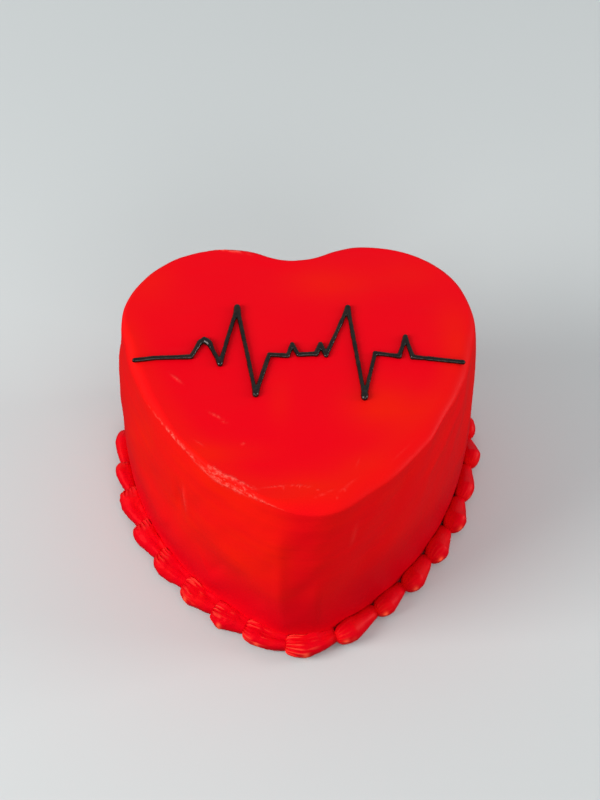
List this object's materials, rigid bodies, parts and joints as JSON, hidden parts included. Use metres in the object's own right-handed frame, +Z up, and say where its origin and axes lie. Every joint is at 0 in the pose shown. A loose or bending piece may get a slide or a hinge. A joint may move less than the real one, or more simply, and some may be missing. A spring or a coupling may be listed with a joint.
{
  "type": "heart shaped cake",
  "caption": "Heart shaped cake, smooth red icing all over, piped shell border round its foot and a piped black heartbeat line across the top.",
  "frame": {"origin": "middle of the whole cake's box, on the surface it stands on", "axes": "+Z up, the heart's tip toward -Y and its two lobes toward +Y, +X to the right as seen from the tip"},
  "size_m": [0.2091, 0.2028, 0.118],
  "materials": {
    "red_icing": "soft satin sheen of smoothed icing",
    "black_icing": "glossy piped gel"
  },
  "bodies": {
    "root": {"iced_cake": "red_icing", "shell_01": "red_icing", "shell_02": "red_icing", "shell_03": "red_icing", "shell_04": "red_icing", "shell_05": "red_icing", "shell_06": "red_icing", "shell_07": "red_icing", "shell_08": "red_icing", "shell_09": "red_icing", "shell_10": "red_icing", "shell_11": "red_icing", "shell_12": "red_icing", "shell_13": "red_icing", "shell_14": "red_icing", "shell_15": "red_icing", "shell_16": "red_icing", "shell_17": "red_icing", "shell_18": "red_icing", "shell_19": "red_icing", "shell_20": "red_icing", "shell_21": "red_icing", "shell_22": "red_icing", "shell_23": "red_icing", "shell_24": "red_icing", "shell_25": "red_icing", "shell_26": "red_icing", "shell_27": "red_icing", "pulse_line": "black_icing"}
  },
  "joints": []
}
